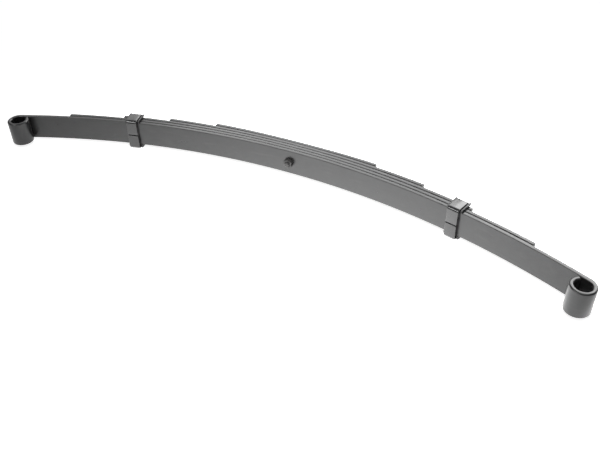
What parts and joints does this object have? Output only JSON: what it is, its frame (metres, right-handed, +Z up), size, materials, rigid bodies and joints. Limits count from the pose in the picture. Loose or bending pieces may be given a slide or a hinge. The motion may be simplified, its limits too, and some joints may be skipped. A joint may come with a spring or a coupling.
{
  "type": "leaf spring",
  "caption": "Semi-elliptic leaf spring with rolled eyes on the main leaf, stepped shorter leaves, a centre bolt and two riveted clinch clips with liners.",
  "frame": {"origin": "under the middle of the spring's bounding box, on the surface that the spring lies on", "axes": "+X along the spring towards the rear eye; +Z up, along the leaf width, with the spring lying on the lower edges of its clips; +Y from the hollow side of the arch to the outside, so both eyes are towards -Y"},
  "size_m": [1.1878, 0.211, 0.0656],
  "materials": {
    "spring_paint": "semi-gloss black paint on rolled spring steel",
    "clip_paint": "gloss black paint on bent steel strap",
    "bolt_steel": "black oxide with a bare cut end",
    "liner_plastic": "satin black moulded plastic",
    "pad_plastic": "matt black moulded plastic"
  },
  "bodies": {
    "centre": {"main_leaf": "spring_paint", "second_leaf": "spring_paint", "third_leaf": "spring_paint", "fourth_leaf": "spring_paint", "fifth_leaf": "spring_paint", "centre_bolt": "bolt_steel", "centre_bolt_nut": "bolt_steel", "front_tip_pad_4": "pad_plastic", "front_tip_pad_5": "pad_plastic", "rear_tip_pad_4": "pad_plastic", "rear_tip_pad_5": "pad_plastic"},
    "front_arm": {"front_clip_strap": "clip_paint", "front_clip_rivet": "clip_paint", "front_clip_liner": "liner_plastic", "front_tip_pad_2": "pad_plastic", "front_tip_pad_3": "pad_plastic"},
    "rear_arm": {"rear_clip_strap": "clip_paint", "rear_clip_rivet": "clip_paint", "rear_clip_liner": "liner_plastic", "rear_tip_pad_2": "pad_plastic", "rear_tip_pad_3": "pad_plastic"}
  },
  "joints": [
    {"name": "front_flex", "type": "hinge", "parent": "centre", "child": "front_arm", "pos_m": [-0.15502, 0.06854, 0.0338], "axis": [0, 0, -1], "range_deg": [-2, 14], "stiffness_Nm_per_rad": 4300, "deforming": ["main_leaf", "second_leaf", "third_leaf", "fourth_leaf", "fifth_leaf", "front_tip_pad_4", "front_tip_pad_5"]},
    {"name": "rear_flex", "type": "hinge", "parent": "centre", "child": "rear_arm", "pos_m": [0.14873, 0.06854, 0.0338], "axis": [0, 0, 1], "range_deg": [-2, 14], "stiffness_Nm_per_rad": 4300, "deforming": ["main_leaf", "second_leaf", "third_leaf", "fourth_leaf", "fifth_leaf", "rear_tip_pad_4", "rear_tip_pad_5"]}
  ]
}
